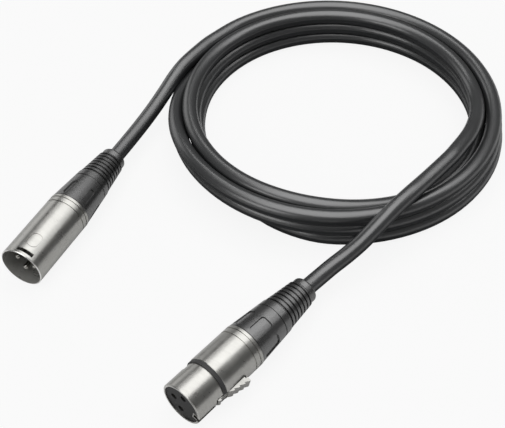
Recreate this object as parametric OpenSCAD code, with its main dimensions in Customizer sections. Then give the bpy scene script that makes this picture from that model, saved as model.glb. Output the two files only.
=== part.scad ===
// Microphone cable with a male and a female three-pin connector, lying in a round coil.
// Origin: centre of the coil, on the table. +Z is up, and the male connector's mouth faces -Y.
// Each connector is drawn along its own axis, from its open end at zero towards the cable.

/* [Cable] */
// Outer diameter of the cable
cable_d = 7; // [6:0.1:7.1]
// Diameter of one conductor with its insulation
wire_d = 1.6; // [1:0.1:1.8]
// Distance of the conductors from the cable's axis where the jacket ends
wire_circle_r = 1.3; // [1:0.1:1.6]

/* [Coil] */
// Radius of the outer column of turns, to the cable's axis
coil_r = 72.7; // [66:0.1:80]
// Space between the outer and the inner column of turns
column_gap = 0.45; // [0.45:0.05:1]
// Height of a turn over the one below, which it presses into a little
turn_rise = 6.8; // [6.8:0.05:7.2]
// Direction from the centre to the start of the outer turns
coil_start = 167.5; // [150:0.5:180]
// Sideways lean of the pile along X for each millimetre of height
lean_x = -0.115; // [-0.2:0.005:0]
// Sideways lean of the pile along Y for each millimetre of height
lean_y = -0.22; // [-0.3:0.005:0]
// Height that the cable climbs on leaving the coil, to cross the outer turns
lead_rise = 7.2; // [7:0.1:9]

/* [Male shell] */
// Outer diameter of both metal shells
shell_d = 19; // [18.8:0.1:19.4]
// Length of the male shell
male_len = 35; // [34:0.5:38]
// Inner diameter of the male mouth
mouth_d = 18.1; // [18:0.05:18.2]
// Depth of the male mouth to the insert
mouth_depth = 13.9; // [13:0.1:14.5]
// Distance of the latch window from the rim
catch_from = 1.4; // [1.3:0.05:1.5]
// Length of the latch window along the shell
catch_len = 1.7; // [1.6:0.05:1.8]
// Width of the latch window round the shell
catch_w = 7.2; // [5:0.1:8]
// Direction of the guide key round the male connector
male_key = 75; // [60:1:90]

/* [Female shell] */
// Length of the female shell
female_len = 34.3; // [34:0.1:37]
// Outer diameter of the barrel that enters the male mouth
barrel_d = 18; // [17.8:0.05:18]
// Length of the barrel in front of the rubber ring
barrel_len = 12.7; // [12.5:0.1:13]
// Width of the rubber ring along the shell
ring_w = 1.6; // [1.2:0.1:1.8]
// Outer diameter of the rubber ring
ring_d = 18.7; // [18.5:0.1:18.8]
// Direction of the latch and key notch round the female connector
female_key = -13; // [-20:1:0]

/* [Contacts] */
// Diameter of a contact pin
pin_d = 2.39; // [2.3:0.01:2.42]
// Bore of a socket contact
socket_d = 2.44; // [2.43:0.01:2.5]
// Distance of the contacts from the connector's axis
contact_r = 4.1; // [4:0.1:4.3]
// Distance of the pin tips behind the male rim
tip_recess = 2.7; // [2:0.1:3.5]
// Diameter of a pin's body inside the insert
pin_body_d = 3; // [2.6:0.1:3.2]
// Outer diameter of a solder cup
cup_d = 3.4; // [3:0.1:3.6]
// Length of a solder cup
cup_len = 4.5; // [4:0.1:5]

/* [Latch] */
// Width of the latch at the hook
hook_w = 4; // [3:0.1:4.2]
// Width of the thumb piece
thumb_w = 5.2; // [4.6:0.1:5.4]
// Distance of the thumb piece from the open end
thumb_from = 14.9; // [14.8:0.1:16]
// Number of teeth on the thumb piece
thumb_teeth = 4; // [3:1:6]
// Distance of the hook from the open end
hook_from = 9.9; // [9.8:0.1:10]
// Length of the hook along the axis
hook_len = 1.2; // [1:0.1:1.3]
// Distance of the hinge pin from the connector's axis
hinge_r = 6.2; // [6.1:0.1:6.3]
// Diameter of the hinge pin
hinge_d = 1.6; // [1.2:0.1:1.7]
// Angle that the latch turns when it is pressed
press_angle = 4.5; // [3:0.5:5]

/* [Bushing and boot] */
// Length of the bushing outside the shell
bushing_len = 18.4; // [17:0.1:20]
// Diameter of the bushing at the shell
bushing_front_d = 18.7; // [18:0.1:18.8]
// Diameter of the bushing at the boot
bushing_rear_d = 15.5; // [15.2:0.1:16]
// Number of grip panels round the bushing
grip_count = 6; // [4:1:7]
// Width of a grip panel on the male bushing
male_grip_w = 2.6; // [2.4:0.1:5.8]
// Width of a grip panel on the female bushing
female_grip_w = 5.6; // [4:0.1:5.8]
// Length of a grip panel
grip_len = 8.5; // [8:0.5:11]
// Length of the boot outside the bushing
boot_len = 17.4; // [16:0.1:19]
// Diameter of the boot at the cable
boot_end_d = 11.1; // [10.6:0.1:11.5]
// Number of grooves in the boot
boot_grooves = 7; // [5:1:8]

/* [Hidden] */
$fn = 64;

// Clearance of a cut past the surface that it opens
over = 1;
// Radial clearance of pieces pushed into each other
fit = 0.04;
// Play round the latch where it moves
play = 0.3;

cable_r = cable_d / 2;
shell_r = shell_d / 2;
barrel_r = barrel_d / 2;
mouth_r = mouth_d / 2;

// Places and headings of the two open ends on the table
male_front = [-77, -142.5, shell_r];
male_heading = 90;
female_front = [12.4, -170.1, shell_r];
female_heading = 75;

// Inside of the shells
seat_r = 8.5;
lip_r = 7.6;
lip_w = 1;
insert_len = 8;
nose_len = 5;
female_bore_r = 8.1;
face_recess = 0.4;
carrier_from = 16;
carrier_floor = 3.2;
ring_seat_r = 8.7;
// The barrel is relieved behind the length that meets no hook
barrel_front_len = 9;
barrel_relief = 0.2;
edge = 0.25;
ring_to = barrel_len + ring_w;

// Thin grooves turned into the rear of both shells, measured from the cable end
line_places = [1.7, 4.2];
line_w = 0.5;
line_depth = 0.3;

// Bare name pad on the male shell
pad_from = 5;
pad_len = 7;
pad_w = 5.4;
pad_corner = 2.4;
pad_line = 0.4;
pad_depth = 0.2;

// Guide rib on the male insert and the notch for it in the female barrel
rib_w = 1.6;
rib_h = 1.3;
rib_from = 5;
notch_len = 8;
keyway_r = 5.6;
keyway_wall = 0.4;

// Socket contacts and cups
socket_wall = 0.58;
socket_from = 1;
socket_len = 13;
socket_r = socket_d / 2 + socket_wall;
tail_to = 17;
tail_r = 1.2;
face_hole_r = 1.3;
cup_wall = 0.6;
cup_floor = 1;
wire_bend = 1;
wire_elbow_d = wire_d + 0.12;

// Latch lever and its channel
bar_low = 5.6;
bar_top = 7.6;
bar_link_top = 8.8;
hook_top = 9.4;
thumb_front_top = 9.05;
thumb_rear_top = 11.05;
thumb_lip = 0.8;
thumb_lip_low = 9.9;
tooth_h = 0.6;
eye_r = 1.3;
hook_gap = 0.6;
channel_play = 0.5;
thumb_gap = 0.8;
spring_t = 0.25;
spring_w = 3;
spring_foot_len = 2.5;
spring_tip = 13;

// Chuck, measured from the shell's cable end
chuck_flange = 2;
chuck_from = -nose_len - chuck_flange;
chuck_to = 7;
chuck_flange_r = 8.2;
chuck_r = 6.4;
chuck_cavity_r = 5.6;
chuck_cavity = 4;
chuck_slot_w = 1;
chuck_slots = 4;

// Bushing and boot, measured from the shell's cable end
bushing_bore_to = 8;
bushing_rear_bore_r = 5.45;
bushing_line = 3.8;
male_grip = 42;
female_grip = 69;
grip_from = 1.5;
grip_corner = 1.2;
grip_depth = 0.5;
boot_groove_w = 0.8;
boot_groove_depth = 0.8;
boot_front_r = 7.5;
boot_step = 0.5;
collar_len = 3.2;
jacket_end = -2.5;

// The latch's hinge lies just in front of the chuck
hinge_back = 2;
carrier_to = female_len + chuck_from - 2 * fit;
hinge_from = carrier_to - hinge_back;
thumb_len = hinge_from - eye_r - over / 2 - thumb_from;
press_drop = (hinge_from - hook_from) * sin(press_angle);
channel_floor = bar_low - press_drop - play;
keyway_w = rib_w + 2 * play + 2 * keyway_wall;
spring_foot_from = hinge_from - 2 * spring_foot_len + play;

// Places on the coil's path, in degrees wound from its start
ring_step = 15;
coil_turned = 1980;
first_drop = [285, 345];
second_drop = [645, 705];
step_inward = [955, 1005];
first_climb = [1260, 1340];
second_climb = [1620, 1700];
last_rise = [1930, 1980];
top_level = 2;
coil_sides = 6;
rings_per_turn = 360 / ring_step;
coil_base = cable_r * cos(180 / coil_sides);
column_pitch = cable_d + column_gap;

// Route of the cable from the male boot to the coil, then from the coil to the female boot
lead_sides = 12;
male_route = [
    [-77, -66, 9.5], [-77, -56, 9.7], [-77, -46, 10.2], [-76.9, -36, 11.4], [-76.8, -26, 13.3],
    [-76.7, -17, 15.4], [-76.2, -8, 16.6]
];
female_route = [
    [55.7, -40, 24], [52.6, -50.5, 24], [49.3, -60.5, 22.7], [46, -69, 19.6], [42.6, -76.3, 15.9],
    [39, -82.6, 12.8], [35.7, -88.6, 10.9], [33.2, -94.4, 9.8]
];

function heading(a) = [cos(a), sin(a), 0];
function unit(v) = v / norm(v);

// 0 before a, 1 after b, and a smooth slope between them
function smooth(v, span) = (1 - cos(180 * min(1, max(0, (v - span[0]) / (span[1] - span[0]))))) / 2;

function coil_level(v) =
    top_level - smooth(v, first_drop) - smooth(v, second_drop)
    + smooth(v, first_climb) + smooth(v, second_climb);
function coil_height(v) = turn_rise * coil_level(v) + lead_rise * smooth(v, last_rise);
function coil_radius(v) = coil_r - column_pitch * smooth(v, step_inward);
function coil_point(v) =
    let (a = coil_start - v, h = coil_height(v), r = coil_radius(v))
    [r * cos(a) + lean_x * h, r * sin(a) + lean_y * h, coil_base + h];
function coil_direction(v) = unit(coil_point(v + 0.5) - coil_point(v - 0.5));

coil_first = coil_point(0) - cable_d * coil_direction(0);
coil_last = coil_point(coil_turned) + cable_d * coil_direction(coil_turned);

// Rings of points square to the path, one at each of its points
function ring(p, d, r, sides) =
    let (side = unit(cross(d, [0, 0, 1])), up = cross(side, d))
    [for (i = [0:sides - 1]) p + r * (cos(360 * i / sides) * side + sin(360 * i / sides) * up)];
function path_directions(path, first, last) =
    [for (i = [0:len(path) - 1])
        i == 0 ? first : i == len(path) - 1 ? last : unit(path[i + 1] - path[i - 1])];
function wall_faces(rings, sides) =
    [for (i = [0:rings - 2], j = [0:sides - 1], half = [0, 1])
        let (k = (j + 1) % sides, a = i * sides, b = a + sides)
        half == 0 ? [a + j, a + k, b + k] : [a + j, b + k, b + j]];
function cap_faces(rings, sides) =
    let (a = (rings - 1) * sides)
    concat([for (j = [1:sides - 2]) [0, j + 1, j]], [for (j = [1:sides - 2]) [a, a + j, a + j + 1]]);

module tube(path, directions, sides) {
    points = [for (i = [0:len(path) - 1]) each ring(path[i], directions[i], cable_r, sides)];
    polyhedron(points, concat(wall_faces(len(path), sides), cap_faces(len(path), sides)));
}

module at_male() translate(male_front) rotate([-90, 0, male_heading - 90]) children();
module at_female() translate(female_front) rotate([-90, 0, female_heading - 90]) children();

// Turns +X to a direction round the connector, counted from its side towards the top
module toward(a) rotate(-a) children();

// A turned piece from points of radius and distance
module turned(outline) rotate_extrude() polygon(outline);

// A round bore or pin along the connector's axis
module rod(r, from, to) translate([0, 0, from]) cylinder(r = r, h = to - from);

// A block given by its lowest and highest distance outward, its width and its span along the axis
module block(low, high, width, from, to)
    translate([low, -width / 2, from]) cube([high - low, width, to - from]);

module rear_lines(length)
    for (place = line_places)
        translate([0, 0, length - place - line_w / 2])
            difference() {
                cylinder(r = shell_r + over, h = line_w);
                translate([0, 0, -over]) cylinder(r = shell_r - line_depth, h = line_w + 2 * over);
            }

// Rectangle with round corners lying along the axis, drawn outward along +X
module panel(width, from, length, corner, low, high)
    translate([low, 0, 0]) rotate([0, 90, 0]) linear_extrude(high - low) {
        for (place = [from + corner, from + length - corner], side = [-1, 1])
            translate([-place, side * (width / 2 - corner)]) circle(r = corner);
        translate([corner - from - length, -width / 2]) square([length - 2 * corner, width]);
        translate([-from - length, corner - width / 2]) square([length, width - 2 * corner]);
    }

module name_pad_line()
    intersection() {
        difference() {
            panel(pad_w, pad_from, pad_len, pad_corner, 1, shell_r + over);
            panel(
                pad_w - 2 * pad_line, pad_from + pad_line, pad_len - 2 * pad_line, pad_corner - pad_line,
                0, shell_r + 2 * over
            );
        }
        difference() {
            rod(shell_r + over, 0, male_len / 2);
            rod(shell_r - pad_depth, -over, male_len);
        }
    }

module male_shell()
    color("silver") at_male() difference() {
        turned([
            [mouth_r, 0], [shell_r - edge, 0], [shell_r, edge], [shell_r, male_len - edge],
            [shell_r - edge, male_len], [seat_r + fit, male_len],
            [seat_r + fit, mouth_depth + insert_len + lip_w], [lip_r, mouth_depth + insert_len + lip_w],
            [lip_r, mouth_depth + insert_len], [seat_r + fit, mouth_depth + insert_len],
            [seat_r + fit, mouth_depth], [mouth_r, mouth_depth]
        ]);
        rear_lines(male_len);
        toward(male_key) block(lip_r, shell_r + over, catch_w, catch_from, catch_from + catch_len);
        toward(male_key) name_pad_line();
    }

module male_insert()
    color("dimgray") at_male() difference() {
        union() {
            rod(seat_r, mouth_depth, mouth_depth + insert_len);
            intersection() {
                toward(male_key) block(mouth_r - rib_h, mouth_r, rib_w, rib_from, mouth_depth + over);
                rod(mouth_r - fit, 0, male_len);
            }
        }
        for (a = [90, -90, 180])
            toward(male_key + a) translate([contact_r, 0, 0])
                rod(pin_body_d / 2 + fit, mouth_depth - over, mouth_depth + insert_len + over);
    }

// Solder cup with its open end towards the cable
module cup(from)
    difference() {
        rod(cup_d / 2, from, from + cup_len);
        rod(cup_d / 2 - cup_wall, from + cup_floor, from + cup_len + over);
    }

module male_pin(a)
    color("silver") at_male() toward(male_key + a) translate([contact_r, 0, 0]) {
        rod(pin_d / 2, tip_recess + pin_d / 2, mouth_depth + edge);
        rod(pin_body_d / 2, mouth_depth, mouth_depth + insert_len + edge);
        translate([0, 0, tip_recess + pin_d / 2]) sphere(d = pin_d);
        cup(mouth_depth + insert_len);
    }

module male_pin_1() male_pin(90);
module male_pin_2() male_pin(-90);
module male_pin_3() male_pin(180);

// Conductor from a solder cup to the end of the jacket
module wire(cup_at, shell_len) {
    run = shell_len + jacket_end - wire_bend - cup_at - cup_len - wire_bend;
    drop = contact_r - wire_circle_r;
    translate([contact_r, 0, 0]) rod(wire_d / 2, cup_at + cup_floor, cup_at + cup_len + wire_bend);
    translate([contact_r, 0, cup_at + cup_len + wire_bend]) {
        sphere(d = wire_elbow_d);
        rotate([0, -atan2(drop, run), 0]) cylinder(d = wire_d, h = norm([drop, run]));
    }
    translate([wire_circle_r, 0, shell_len + jacket_end - wire_bend]) {
        sphere(d = wire_elbow_d);
        cylinder(d = wire_d, h = wire_bend);
    }
}

module male_wire(a) at_male() toward(male_key + a) wire(mouth_depth + insert_len, male_len);
module male_wire_1() color("firebrick") male_wire(90);
module male_wire_2() color("white") male_wire(-90);
module male_wire_3() color("royalblue") male_wire(180);

// Slotted collet round the jacket, with a flange in front
module chuck()
    difference() {
        union() {
            rod(chuck_flange_r, chuck_from, chuck_from + chuck_flange);
            rod(chuck_r, chuck_from, chuck_to);
        }
        rod(chuck_cavity_r, chuck_from - over, chuck_from + chuck_cavity);
        rod(cable_r + fit, chuck_from, chuck_to + over);
        for (i = [0:chuck_slots / 2 - 1])
            rotate(360 * i / chuck_slots)
                block(
                    -chuck_flange_r, chuck_flange_r, chuck_slot_w, chuck_from + chuck_cavity + over,
                    chuck_to + over
                );
    }

module bushing_body()
    turned([
        [seat_r - fit, -nose_len], [seat_r - fit, 0], [bushing_front_d / 2 - edge, 0],
        [bushing_front_d / 2, edge], [bushing_rear_d / 2, bushing_len - edge],
        [bushing_rear_d / 2 - edge, bushing_len], [bushing_rear_bore_r, bushing_len],
        [bushing_rear_bore_r, bushing_bore_to], [chuck_r + fit, bushing_bore_to],
        [chuck_r + fit, -nose_len]
    ]);

module bushing(grip_w) {
    difference() {
        bushing_body();
        difference() {
            for (i = [0:grip_count - 1])
                rotate(360 * i / grip_count)
                    panel(grip_w, grip_from, grip_len, grip_corner, bushing_rear_bore_r, shell_r);
            cylinder(
                d1 = bushing_front_d - 2 * grip_depth, d2 = bushing_rear_d - 2 * grip_depth, h = bushing_len
            );
        }
        translate([0, 0, bushing_len - bushing_line]) difference() {
            cylinder(r = bushing_front_d, h = line_w);
            translate([0, 0, -over]) cylinder(d = bushing_rear_d, h = line_w + 2 * over);
        }
    }
}

// Ribbed sleeve: a cone with grooves and a round collar at the cable
module boot() {
    pitch = (boot_len - collar_len) / boot_grooves;
    end_r = boot_end_d / 2;
    last_rib_r = end_r + boot_step;
    rib_end = bushing_len + boot_len - collar_len;
    round_r = 2 * boot_step;
    difference() {
        turned([
            [bushing_rear_bore_r - fit, bushing_bore_to], [bushing_rear_bore_r - fit, bushing_len],
            [boot_front_r, bushing_len], [last_rib_r, rib_end - boot_step], [end_r, rib_end],
            for (a = [0:15:90])
                [end_r - round_r + round_r * cos(a), bushing_len + boot_len - round_r + round_r * sin(a)],
            [cable_r + fit, bushing_len + boot_len], [cable_r + fit, bushing_bore_to]
        ]);
        for (i = [0:boot_grooves - 1]) {
            mid_r = boot_front_r + (last_rib_r - boot_front_r) * (i + 0.5) / boot_grooves;
            floor_r = mid_r - boot_groove_depth;
            translate([0, 0, bushing_len + pitch * i + edge]) difference() {
                cylinder(r = boot_front_r + over, h = boot_groove_w);
                translate([0, 0, -over]) cylinder(r = floor_r, h = boot_groove_w + 2 * over);
            }
        }
    }
}

module male_chuck() color("gainsboro") at_male() translate([0, 0, male_len]) chuck();
module male_bushing()
    color("black") at_male() translate([0, 0, male_len]) toward(male_grip) bushing(male_grip_w);
module male_boot() color("black") at_male() translate([0, 0, male_len]) boot();
module female_chuck() color("gainsboro") at_female() translate([0, 0, female_len]) chuck();
module female_bushing()
    color("black") at_female() translate([0, 0, female_len]) toward(female_grip) bushing(female_grip_w);
module female_boot() color("black") at_female() translate([0, 0, female_len]) boot();

module female_shell()
    color("silver") at_female() difference() {
        union() {
            turned([
                [female_bore_r, 0], [barrel_r - edge, 0], [barrel_r, edge], [barrel_r, barrel_front_len],
                [barrel_r - barrel_relief, barrel_front_len], [barrel_r - barrel_relief, barrel_len],
                [ring_seat_r, barrel_len], [ring_seat_r, ring_to], [shell_r - edge, ring_to],
                [shell_r, ring_to + edge], [shell_r, female_len - edge], [shell_r - edge, female_len],
                [seat_r + fit, female_len], [seat_r + fit, carrier_to], [female_bore_r, carrier_to]
            ]);
            toward(female_key)
                block(keyway_r, barrel_r - edge, keyway_w, edge, notch_len + keyway_wall);
        }
        rear_lines(female_len);
        toward(female_key) {
            block(keyway_r + keyway_wall, shell_r, rib_w + 2 * play, -over, notch_len);
            block(channel_floor, shell_r + over, hook_w + 2 * channel_play, hook_from - hook_gap, ring_to);
            block(
                channel_floor, shell_r + over, thumb_w + 2 * play, ring_to - edge,
                thumb_from + thumb_len + thumb_gap
            );
        }
    }

module female_ring()
    color("black") at_female() difference() {
        turned([
            [ring_seat_r + fit, barrel_len], [ring_d / 2, barrel_len], [ring_d / 2, ring_to],
            [ring_seat_r + fit, ring_to]
        ]);
        toward(female_key) block(0, shell_r, thumb_w + 2 * play, barrel_len - over, ring_to + over);
    }

module female_insert()
    color("dimgray") at_female() difference() {
        union() {
            rod(female_bore_r - fit, face_recess, carrier_from);
            intersection() {
                rod(female_bore_r - fit, carrier_from - over, carrier_to);
                toward(female_key) block(carrier_floor, shell_r, 2 * shell_r, 0, female_len);
            }
        }
        for (a = [90, -90, 180])
            toward(female_key + a) translate([contact_r, 0, 0]) {
                rod(face_hole_r, 0, socket_from + over);
                rod(socket_r + fit, socket_from, carrier_from + over);
            }
        toward(female_key) {
            block(keyway_r - fit, shell_r, keyway_w + 2 * fit, -over, notch_len + keyway_wall + fit);
            block(
                channel_floor, shell_r, thumb_w + 2 * play, hook_from - hook_gap - fit, carrier_to + over
            );
            translate([hinge_r, 0, hinge_from]) rotate([90, 0, 0])
                cylinder(d = hinge_d + 2 * fit, h = 2 * shell_r, center = true);
        }
    }

module female_contact(a)
    color("goldenrod") at_female() toward(female_key + a) translate([contact_r, 0, 0]) {
        difference() {
            rod(socket_r, socket_from, socket_from + socket_len + over);
            rod(socket_d / 2, 0, socket_from + socket_len);
        }
        rod(tail_r, socket_from + socket_len, tail_to + edge);
        cup(tail_to);
    }

module female_contact_1() female_contact(-90);
module female_contact_2() female_contact(90);
module female_contact_3() female_contact(180);

module female_wire(a) at_female() toward(female_key + a) wire(tail_to, female_len);
module female_wire_1() color("firebrick") female_wire(-90);
module female_wire_2() color("white") female_wire(90);
module female_wire_3() color("royalblue") female_wire(180);

// A flat outline of distance outward and distance along the axis, as wide as the piece
module plate(outline, width)
    translate([0, width / 2, 0]) rotate([90, 0, 0]) linear_extrude(width) polygon(outline);

module female_latch() {
    tooth = (thumb_len + thumb_lip) / thumb_teeth;
    step = (thumb_rear_top - thumb_front_top) / thumb_teeth;
    hook_to = hook_from + hook_len;
    thumb_to = thumb_from + thumb_len;
    teeth = [for (i = [0:thumb_teeth - 1])
        each [
            [thumb_front_top + step * i, thumb_from + tooth * i],
            [thumb_front_top + step * (i + 0.7) + tooth_h, thumb_from + tooth * (i + 0.7)],
            [thumb_front_top + step * (i + 1) + tooth_h, thumb_from + tooth * (i + 0.95)],
            [thumb_front_top + step * (i + 1) + tooth_h / 2, thumb_from + tooth * (i + 1)]
        ]];
    color("silver") at_female() toward(female_key) difference() {
        union() {
            plate([
                [bar_low, hook_from], [bar_link_top, hook_from], [hook_top, hook_to - hook_len / 3],
                [hook_top, hook_to], [bar_link_top, hook_to], [bar_link_top, thumb_from + over],
                [bar_low, thumb_from + over]
            ], hook_w);
            plate(concat(
                [[bar_low, thumb_from]], teeth,
                [[thumb_lip_low, thumb_to + thumb_lip], [thumb_lip_low, thumb_to], [bar_low, thumb_to]]
            ), thumb_w);
            plate([
                [bar_low, thumb_to - over], [bar_top, thumb_to - over], [bar_top, hinge_from],
                [bar_low, hinge_from]
            ], hook_w);
            translate([hinge_r, 0, hinge_from]) rotate([90, 0, 0])
                cylinder(r = eye_r, h = hook_w, center = true);
        }
        translate([hinge_r, 0, hinge_from]) rotate([90, 0, 0])
            cylinder(d = hinge_d + 2 * fit, h = hook_w + 2 * over, center = true);
    }
}

module female_latch_pin() {
    length = 2 * sqrt(pow(female_bore_r - 2 * fit, 2) - pow(hinge_r + hinge_d / 2, 2));
    color("silver") at_female() toward(female_key) translate([hinge_r, 0, hinge_from])
        rotate([90, 0, 0]) cylinder(d = hinge_d, h = length, center = true);
}

// Leaf with its foot on the channel's floor and its tip under the lever
module female_latch_spring() {
    foot_low = channel_floor + fit;
    tip_low = bar_low - 2 * fit - spring_t;
    color("silver") at_female() toward(female_key)
        plate([
            [foot_low, spring_foot_from + spring_foot_len], [foot_low, spring_foot_from],
            [tip_low, spring_tip], [tip_low + spring_t, spring_tip],
            [foot_low + spring_t, spring_foot_from],
            [foot_low + spring_t, spring_foot_from + spring_foot_len]
        ], spring_w);
}

module male_lead() {
    along = heading(male_heading);
    path = concat(
        [male_front + along * (male_len + jacket_end),
         male_front + along * (male_len + bushing_len + boot_len)],
        male_route, [coil_first]);
    color("black") tube(path, path_directions(path, along, coil_direction(0)), lead_sides);
}

module female_lead() {
    along = heading(female_heading);
    path = concat(
        [coil_last], female_route,
        [female_front + along * (female_len + bushing_len + boot_len),
         female_front + along * (female_len + jacket_end)]);
    color("black") tube(path, path_directions(path, coil_direction(coil_turned), -along), lead_sides);
}

module cable_coil() {
    turns = [for (v = [0:ring_step:coil_turned]) v];
    path = concat([coil_first], [for (v = turns) coil_point(v)], [coil_last]);
    ends = [coil_direction(0), coil_direction(coil_turned)];
    directions = concat([ends[0]], [for (v = turns) coil_direction(v)], [ends[1]]);
    rings = [for (i = [0:len(path) - 1]) ring(path[i], directions[i], cable_r, coil_sides)];
    // Rings at nearly the same place on a later turn
    gaps = [for (i = [0:len(path) - 1], j = [i + rings_per_turn - 1:len(path) - 1])
        if ((j - i + 1) % rings_per_turn <= 2) for (p = rings[i], q = rings[j]) norm(p - q)];
    echo(str("Least gap of the coil to itself: ", min(gaps), " mm"));
    color("black") tube(path, directions, coil_sides);
}

male_shell();
male_insert();
male_pin_1();
male_pin_2();
male_pin_3();
male_wire_1();
male_wire_2();
male_wire_3();
male_chuck();
male_bushing();
male_boot();
female_shell();
female_ring();
female_insert();
female_contact_1();
female_contact_2();
female_contact_3();
female_wire_1();
female_wire_2();
female_wire_3();
female_latch();
female_latch_pin();
female_latch_spring();
female_chuck();
female_bushing();
female_boot();
male_lead();
cable_coil();
female_lead();
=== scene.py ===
"""Looks of a coiled microphone cable with a male and a female three-pin connector."""

import math

import bpy
from mathutils import Matrix, Vector


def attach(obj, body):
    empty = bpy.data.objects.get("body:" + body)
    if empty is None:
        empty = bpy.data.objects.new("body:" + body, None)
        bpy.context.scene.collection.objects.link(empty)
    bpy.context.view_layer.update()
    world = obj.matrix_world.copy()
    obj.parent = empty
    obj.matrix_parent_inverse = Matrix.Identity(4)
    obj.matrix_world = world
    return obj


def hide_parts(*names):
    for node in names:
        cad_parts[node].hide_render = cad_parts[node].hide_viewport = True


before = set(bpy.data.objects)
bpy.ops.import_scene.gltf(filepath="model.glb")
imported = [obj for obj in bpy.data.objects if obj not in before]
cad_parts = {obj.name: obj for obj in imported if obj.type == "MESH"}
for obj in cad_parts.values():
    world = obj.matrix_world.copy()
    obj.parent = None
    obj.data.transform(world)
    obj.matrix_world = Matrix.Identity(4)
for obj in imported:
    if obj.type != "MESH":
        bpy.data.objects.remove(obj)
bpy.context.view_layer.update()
bpy.ops.object.select_all(action="DESELECT")

MM = 0.001

# The connectors, in millimetres and degrees, as in the solids
SHELL_R = 9.5
MALE_FRONT = Vector((-77, -142.5, SHELL_R))
MALE_HEADING = 90
MALE_LEN = 35
FEMALE_FRONT = Vector((12.4, -170.1, SHELL_R))
FEMALE_HEADING = 75
FEMALE_LEN = 34.3
BUSHING_LEN = 18.4
BOOT_LEN = 17.4

# The shells' finish: how deep the painted highlight on the rim goes, the mouth's radius, and the
# width of a soft change
RIM_HIGHLIGHT_DEPTH = 0.6
MOUTH_R = 9.05
FINISH_EDGE = 0.1

# The cable, and where its route passes inside a bushing and boot, from the shell's end
CABLE_D = 7
JACKET_END = -2.5
INNER_STOPS = (6, 14, 23)

# The coil: two columns of turns, three turns high, wound clockwise from above
COIL_R = 72.7
COLUMN_GAP = 0.45
TURN_RISE = 6.8
LEAN = Vector((-0.115, -0.22, 0))
LEAD_RISE = 7.2
RING_STEP = 15

# Where the coil starts, how far it turns, and between which turned angles it changes level or column
COIL_START = 167.5
COIL_TURNED = 1980
FIRST_DROP = (285, 345)
SECOND_DROP = (645, 705)
STEP_INWARD = (955, 1005)
FIRST_CLIMB = (1260, 1340)
SECOND_CLIMB = (1620, 1700)
LAST_RISE = (1930, 1980)

# Route of the cable between each boot and the coil
MALE_ROUTE = [
    (-77, -66, 9.5), (-77, -56, 9.7), (-77, -46, 10.2), (-76.9, -36, 11.4), (-76.8, -26, 13.3),
    (-76.7, -17, 15.4), (-76.2, -8, 16.6),
]
FEMALE_ROUTE = [
    (55.7, -40, 24), (52.6, -50.5, 24), (49.3, -60.5, 22.7), (46, -69, 19.6), (42.6, -76.3, 15.9),
    (39, -82.6, 12.8), (35.7, -88.6, 10.9), (33.2, -94.4, 9.8),
]

# The camera, in millimetres and degrees
CAMERA_PLACE = Vector((126.2, -330.1, 317.1))
CAMERA_TURN = 27.51
CAMERA_DOWN = 47.0
CAMERA_ROLL = -1.28
CAMERA_LENS = 71.29

# The floor in metres, its own grey, and how much white the camera and mirrored light see in it
FLOOR_SIZE = 8
FLOOR_GREY = 0.7
WHITE_SEEN = 0.89
WHITE_MIRRORED = 0.05

# The light: the world's strength, the height of the boxes overhead, and what the others aim at
WORLD_STRENGTH = 0.12
BOX_HEIGHT = 1.0
MIDDLE = (0, -0.04, 0.1)


# ---------------------------------------------------------------- shader maths


class Socket:
    """An output of a node, on which sums are written as expressions."""

    def __init__(self, material, output):
        self.material = material
        self.output = output

    def _math(self, operation, first, second):
        return self.material.node("Math", {"operation": operation}, in_order=(first, second))

    def __add__(self, other):
        return self._math("ADD", self, other)

    def __radd__(self, other):
        return self._math("ADD", other, self)

    def __sub__(self, other):
        return self._math("SUBTRACT", self, other)

    def __rsub__(self, other):
        return self._math("SUBTRACT", other, self)

    def __mul__(self, other):
        return self._math("MULTIPLY", self, other)

    def __rmul__(self, other):
        return self._math("MULTIPLY", other, self)

    def __truediv__(self, other):
        return self._math("DIVIDE", self, other)

    def __rtruediv__(self, other):
        return self._math("DIVIDE", other, self)

    def larger(self, other):
        return self._math("MAXIMUM", self, other)

    def smaller(self, other):
        return self._math("MINIMUM", self, other)

    def fade(self, start, end):
        """0 at the start value, 1 at the end value, and level beyond both."""
        return ((self - start) / (end - start)).larger(0.0).smaller(1.0)


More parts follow.
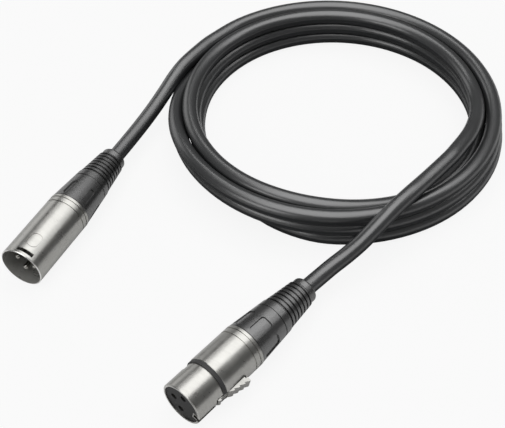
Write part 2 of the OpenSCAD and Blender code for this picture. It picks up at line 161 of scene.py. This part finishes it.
class Material:
    """A material whose nodes are made by kind. Its Principled shader is set by the sockets' names."""

    def __init__(self, name, **constants):
        self.material = bpy.data.materials.new(name)
        self.material.use_nodes = True
        self.tree = self.material.node_tree
        self.shader = self.tree.nodes["Principled BSDF"]
        for socket, value in constants.items():
            self.set(socket.replace("_", " "), value)

    def feed(self, socket, value):
        if isinstance(value, Socket):
            self.tree.links.new(value.output, socket)
        else:
            socket.default_value = value

    def node(self, kind, settings=None, output=0, in_order=(), **inputs):
        """A node with its settings made first, then its inputs, by their order or their names."""
        made = self.tree.nodes.new("ShaderNode" + kind)
        for name, value in (settings or {}).items():
            if name == "stops":
                ramp = made.color_ramp.elements
                ramp[0].position, ramp[0].color = value[0]
                ramp[-1].position, ramp[-1].color = value[-1]
                for position, colour in value[1:-1]:
                    ramp.new(position).color = colour
            else:
                setattr(made, name, value)
        for socket, value in zip(made.inputs, in_order):
            self.feed(socket, value)
        for name, value in inputs.items():
            self.feed(made.inputs[name.replace("_", " ")], value)
        return Socket(self, made.outputs[output])

    def place(self):
        return self.node("TexCoord", output="Object")

    def facing(self, axis):
        """How squarely the surface faces along an axis, from -1 to 1."""
        return self.node("SeparateXYZ", output=axis, Vector=self.node("NewGeometry", output="Normal"))

    def noise(self, where, scale, detail=3.0, roughness=0.5):
        return self.node("TexNoise", Vector=where, Scale=scale, Detail=detail, Roughness=roughness)

    def ramp(self, factor, *stops):
        return self.node("ValToRGB", {"stops": stops}, Fac=factor)

    def mottled(self, cloud, dark, light):
        """Two shades of a colour, over the middle range of a noise."""
        return self.ramp(cloud, (0.3, dark), (0.7, light))

    def bump(self, height, strength, distance):
        self.set("Normal", self.node("Bump", Height=height, Strength=strength, Distance=distance))

    def set(self, socket, value):
        self.feed(self.shader.inputs[socket], value)

    def cover(self, shader):
        """Puts another shader in the place of the Principled one."""
        self.tree.nodes.remove(self.shader)
        self.feed(self.tree.nodes["Material Output"].inputs["Surface"], shader)


def grey(level, warmth=0.0):
    """An opaque grey from its level, warmer above zero and cooler below."""
    return (level * (1 + warmth), level, level * (1 - warmth), 1)


def opaque(colour, share=1.0):
    """An opaque colour, darkened to a share of itself."""
    return tuple(c * share for c in colour) + (1,)


# ---------------------------------------------------------------- materials


def satin_nickel(front, bearing, rim_highlight_share, mouth_r=None):
    """Satin plate, banded along the connector, with a highlight painted in near-white on the
    forward-facing face of its rim. The bore of a mouth is duller.
    """
    m = Material("satin_nickel_%d" % bearing, Metallic=1.0)
    where = m.place()
    turn = -math.radians(bearing)
    along = m.node("Mapping", Vector=where, Rotation=(0, 0, turn), Scale=(60, 900, 900))
    bands = m.noise(along, 1.0, 4.0, 0.6)
    cloud = m.noise(where, 140.0, 3.0)
    start = Matrix.Rotation(turn, 3, "Z") @ front * MM
    axial = m.node("Mapping", Vector=where, Rotation=(0, 0, turn), Location=-start)
    depth = m.node("SeparateXYZ", output="X", Vector=axial)
    forwards = m.facing("Y").fade(-0.55, -0.65)
    # Painted highlight: where the rim's end faces forwards, its colour turns near-white, standing in
    # for light caught on the rim
    rim_highlight = depth.fade(RIM_HIGHLIGHT_DEPTH * MM, (RIM_HIGHLIGHT_DEPTH - FINISH_EDGE) * MM) * forwards
    satin_low = opaque((0.43, 0.425, 0.405))
    satin_high = opaque((0.53, 0.525, 0.5))
    # The colour of the painted rim highlight
    highlight_colour = opaque((0.95, 0.94, 0.92))
    stops = ((0.24, satin_low), (0.56, satin_high), (0.8, satin_high), (1.0, highlight_colour))
    m.set("Base Color", m.ramp(bands * 0.4 + cloud * 0.4 + rim_highlight * rim_highlight_share, *stops))
    m.set("Roughness", cloud * 0.08 + bands * 0.08 + 0.21)
    if mouth_r:
        across = m.node("Mapping", Vector=axial, Scale=(0, 1, 1))
        radius = m.node("VectorMath", {"operation": "LENGTH"}, output="Value", Vector=across)
        inside = radius.fade((mouth_r + FINISH_EDGE) * MM, (mouth_r + FINISH_EDGE / 2) * MM)
        m.set("Metallic", 1.0 - inside * 0.5)
    return m.material


def moulded_black(name, level, roughness, grain, **gloss):
    """Black plastic or rubber, lightly clouded, with the fine grain of its mould."""
    m = Material(name, **{"IOR": 2.3, "Coat_Weight": 0.3, "Coat_Roughness": 0.25, **gloss})
    where = m.place()
    cloud = m.noise(where, 90.0, 4.0)
    fine = m.noise(where, grain, 2.0)
    m.set("Base Color", m.mottled(cloud, grey(level * 0.85), grey(level * 1.2)))
    m.set("Roughness", cloud * 0.1 + fine * 0.06 + (roughness - 0.08))
    m.bump(fine, 0.12, 0.0001)
    return m.material


def cable_jacket():
    """Soft black jacket, with a sheen painted on its upper side: only upward-facing surfaces get the
    glossy coat, so the sides stay darker as if shaded.
    """
    m = Material("cable_jacket", IOR=1.12, Coat_IOR=2.2, Coat_Roughness=0.3)
    where = m.place()
    cloud = m.noise(where, 40.0, 4.0)
    fine = m.noise(where, 2600.0, 2.0)
    ripple = m.noise(where, 160.0, 2.0)
    # Painted sheen: the coat fades in only on upward-facing surfaces, standing in for light from
    # above and leaving the sides darker
    painted_top_sheen = m.facing("Z").fade(0.1, 0.45)
    m.set("Base Color", m.mottled(cloud, grey(0.026, -0.04), grey(0.034, -0.04)))
    m.set("Roughness", cloud * 0.1 + fine * 0.05 + 0.35)
    m.set("Coat Weight", painted_top_sheen * (cloud * 0.15 + 0.85))
    m.bump(ripple * 0.8 + fine * 0.2, 0.1, 0.0004)
    return m.material


def plated(name, colour, roughness):
    """Bare or plated metal, lightly clouded."""
    m = Material(name, Metallic=1.0)
    cloud = m.noise(m.place(), 300.0, 3.0)
    m.set("Base Color", m.mottled(cloud, opaque(colour, 0.82), opaque(colour)))
    m.set("Roughness", cloud * 0.12 + (roughness - 0.06))
    return m.material


def insulation(name, colour):
    """Smooth coloured plastic, as on the conductors."""
    m = Material(name)
    cloud = m.noise(m.place(), 200.0, 2.0)
    m.set("Base Color", m.mottled(cloud, opaque(colour, 0.85), opaque(colour)))
    m.set("Roughness", cloud * 0.1 + 0.3)
    return m.material


def white_floor():
    """Nearly white to the camera, and a plain matt grey to the light that falls on the cable."""
    m = Material("floor")
    matt = m.node("BsdfDiffuse", Color=grey(FLOOR_GREY))
    white = m.node("Emission", Color=grey(1.0))
    seen = m.node("LightPath", output="Is Camera Ray")
    glossy = m.node("LightPath", output="Is Glossy Ray")
    through = m.node("LightPath", output="Is Transmission Ray")
    share = seen * WHITE_SEEN + glossy.larger(through) * WHITE_MIRRORED
    m.cover(m.node("MixShader", in_order=(share, matt, white)))
    return m.material


# ---------------------------------------------------------------- connectors


def dress(node, material):
    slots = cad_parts[node].data.materials
    slots.clear()
    slots.append(material)


def dress_connectors():
    nickel = {
        # The third figure is how much of the painted rim highlight each shell gets
        "male": satin_nickel(MALE_FRONT, MALE_HEADING, 1.0, MOUTH_R),
        "female": satin_nickel(FEMALE_FRONT, FEMALE_HEADING, 0.45),
    }
    plastic = moulded_black("black_plastic", 0.018, 0.28, 2200.0)
    rubber = moulded_black("black_rubber", 0.013, 0.32, 2600.0)
    dull = {"IOR": 1.35, "Coat_Weight": 0.0}
    insert = {
        "male": moulded_black("male_insert_plastic", 0.05, 0.5, 1800.0),
        "female": moulded_black("female_insert_plastic", 0.025, 0.5, 1800.0, **dull),
    }
    ring = moulded_black("ring_rubber", 0.052, 0.5, 2600.0, **dull)
    nylon = insulation("pale_plastic", (0.8, 0.79, 0.75))
    steel = plated("latch_steel", (0.42, 0.415, 0.395), 0.3)
    pin = plated("pin_metal", (0.45, 0.44, 0.41), 0.12)
    contact = plated("contact_metal", (0.2, 0.185, 0.15), 0.4)
    wires = {
        1: insulation("wire_red", (0.6, 0.03, 0.03)),
        2: insulation("wire_white", (0.85, 0.85, 0.83)),
        3: insulation("wire_blue", (0.05, 0.12, 0.5)),
    }
    for end in ("male", "female"):
        dress(end + "_shell", nickel[end])
        dress(end + "_insert", insert[end])
        dress(end + "_chuck", nylon)
        dress(end + "_bushing", plastic)
        dress(end + "_boot", rubber)
        for number, wire in wires.items():
            dress("%s_wire_%d" % (end, number), wire)
    for number in wires:
        dress("male_pin_%d" % number, pin)
        dress("female_contact_%d" % number, contact)
    dress("female_ring", ring)
    for node in ("female_latch", "female_latch_pin", "female_latch_spring"):
        dress(node, steel)


# ---------------------------------------------------------------- cable


def heading(degrees):
    """The level direction at an angle from +X."""
    return Vector((math.cos(math.radians(degrees)), math.sin(math.radians(degrees)), 0))


def smooth(turned, span):
    """0 before the span, 1 after it, and a smooth slope between."""
    share = min(1, max(0, (turned - span[0]) / (span[1] - span[0])))
    return (1 - math.cos(math.pi * share)) / 2


def coil_point(turned):
    """The coil's centreline in millimetres, at an angle turned since its start."""
    level = 2 - smooth(turned, FIRST_DROP) - smooth(turned, SECOND_DROP)
    level += smooth(turned, FIRST_CLIMB) + smooth(turned, SECOND_CLIMB)
    height = TURN_RISE * level + LEAD_RISE * smooth(turned, LAST_RISE)
    radius = COIL_R - (CABLE_D + COLUMN_GAP) * smooth(turned, STEP_INWARD)
    out = heading(COIL_START - turned)
    return out * radius + LEAN * height + Vector((0, 0, CABLE_D / 2 + height))


def coil_direction(turned):
    return (coil_point(turned + 0.5) - coil_point(turned - 0.5)).normalized()


def cable_points():
    """Centreline in millimetres, from inside the male bushing to inside the female bushing."""
    male_axis = heading(MALE_HEADING)
    female_axis = heading(FEMALE_HEADING)
    inner = (JACKET_END, *INNER_STOPS, BUSHING_LEN + BOOT_LEN)
    points = [MALE_FRONT + male_axis * (MALE_LEN + at) for at in inner]
    points += [Vector(p) for p in MALE_ROUTE]
    points.append(coil_point(0) - CABLE_D * coil_direction(0))
    points += [coil_point(turned) for turned in range(0, COIL_TURNED + 1, RING_STEP)]
    points.append(coil_point(COIL_TURNED) + CABLE_D * coil_direction(COIL_TURNED))
    points += [Vector(p) for p in FEMALE_ROUTE]
    points += [FEMALE_FRONT + female_axis * (FEMALE_LEN + at) for at in reversed(inner)]
    return points


def make_cable(material):
    """One smooth round tube on the route of the three cable solids, in their place."""
    points = cable_points()
    data = bpy.data.curves.new("cable", "CURVE")
    data.dimensions = "3D"
    data.bevel_depth = CABLE_D / 2 * MM
    data.bevel_resolution = 6
    data.resolution_u = 5
    data.use_fill_caps = True
    spline = data.splines.new("BEZIER")
    spline.bezier_points.add(len(points) - 1)
    for i, point in enumerate(points):
        before = points[max(i - 1, 0)]
        after = points[min(i + 1, len(points) - 1)]
        along = (after - before).normalized()
        knot = spline.bezier_points[i]
        knot.co = point * MM
        knot.handle_left = (point - along * (point - before).length / 3) * MM
        knot.handle_right = (point + along * (after - point).length / 3) * MM
    cable = bpy.data.objects.new("cable", data)
    bpy.context.scene.collection.objects.link(cable)
    data.materials.append(material)
    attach(cable, "cable")
    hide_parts("male_lead", "cable_coil", "female_lead")


# ---------------------------------------------------------------- floor, light and camera


def make_floor():
    bpy.ops.mesh.primitive_plane_add(size=FLOOR_SIZE)
    floor = bpy.context.object
    floor.name = "floor"
    floor.data.materials.append(white_floor())


def make_world():
    world = bpy.data.worlds.new("studio")
    bpy.context.scene.world = world
    world.use_nodes = True
    background = world.node_tree.nodes["Background"]
    background.inputs["Color"].default_value = grey(1.0)
    background.inputs["Strength"].default_value = WORLD_STRENGTH


def make_lamp(name, place, target, width, depth, power):
    """A soft box in metres and watts, facing its target."""
    data = bpy.data.lights.new(name, "AREA")
    data.shape = "RECTANGLE"
    data.size = width
    data.size_y = depth
    data.energy = power
    lamp = bpy.data.objects.new(name, data)
    bpy.context.scene.collection.objects.link(lamp)
    lamp.location = place
    lamp.rotation_euler = (Vector(target) - Vector(place)).to_track_quat("-Z", "Y").to_euler()


def make_box_above(name, x, y, width, depth, power):
    make_lamp(name, (x, y, BOX_HEIGHT), (x, y, 0), width, depth, power)


def make_light():
    make_box_above("overhead", 0.03, -0.17, width=1.0, depth=1.23, power=7.5)
    make_box_above("behind", 0.47, 0.5, width=1.65, depth=0.1, power=1.0)
    make_box_above("far", 0.21, 0.67, width=2.18, depth=0.24, power=3.2)
    make_lamp("left_card", (-1.1, 0.3, 0.33), MIDDLE, width=0.75, depth=0.6, power=1.15)
    make_lamp("front", (-0.45, -1.3, 0.6), MIDDLE, width=0.8, depth=0.6, power=3)


def make_camera():
    data = bpy.data.cameras.new("camera")
    data.lens = CAMERA_LENS
    camera = bpy.data.objects.new("camera", data)
    bpy.context.scene.collection.objects.link(camera)
    turn = Matrix.Rotation(math.radians(CAMERA_TURN), 4, "Z")
    tilt = Matrix.Rotation(math.radians(90 - CAMERA_DOWN), 4, "X")
    roll = Matrix.Rotation(math.radians(CAMERA_ROLL), 4, "Z")
    camera.matrix_world = Matrix.Translation(CAMERA_PLACE * MM) @ turn @ tilt @ roll
    bpy.context.scene.camera = camera


bpy.context.scene.view_settings.view_transform = "Standard"
make_camera()
make_cable(cable_jacket())
dress_connectors()
make_floor()
make_world()
make_light()
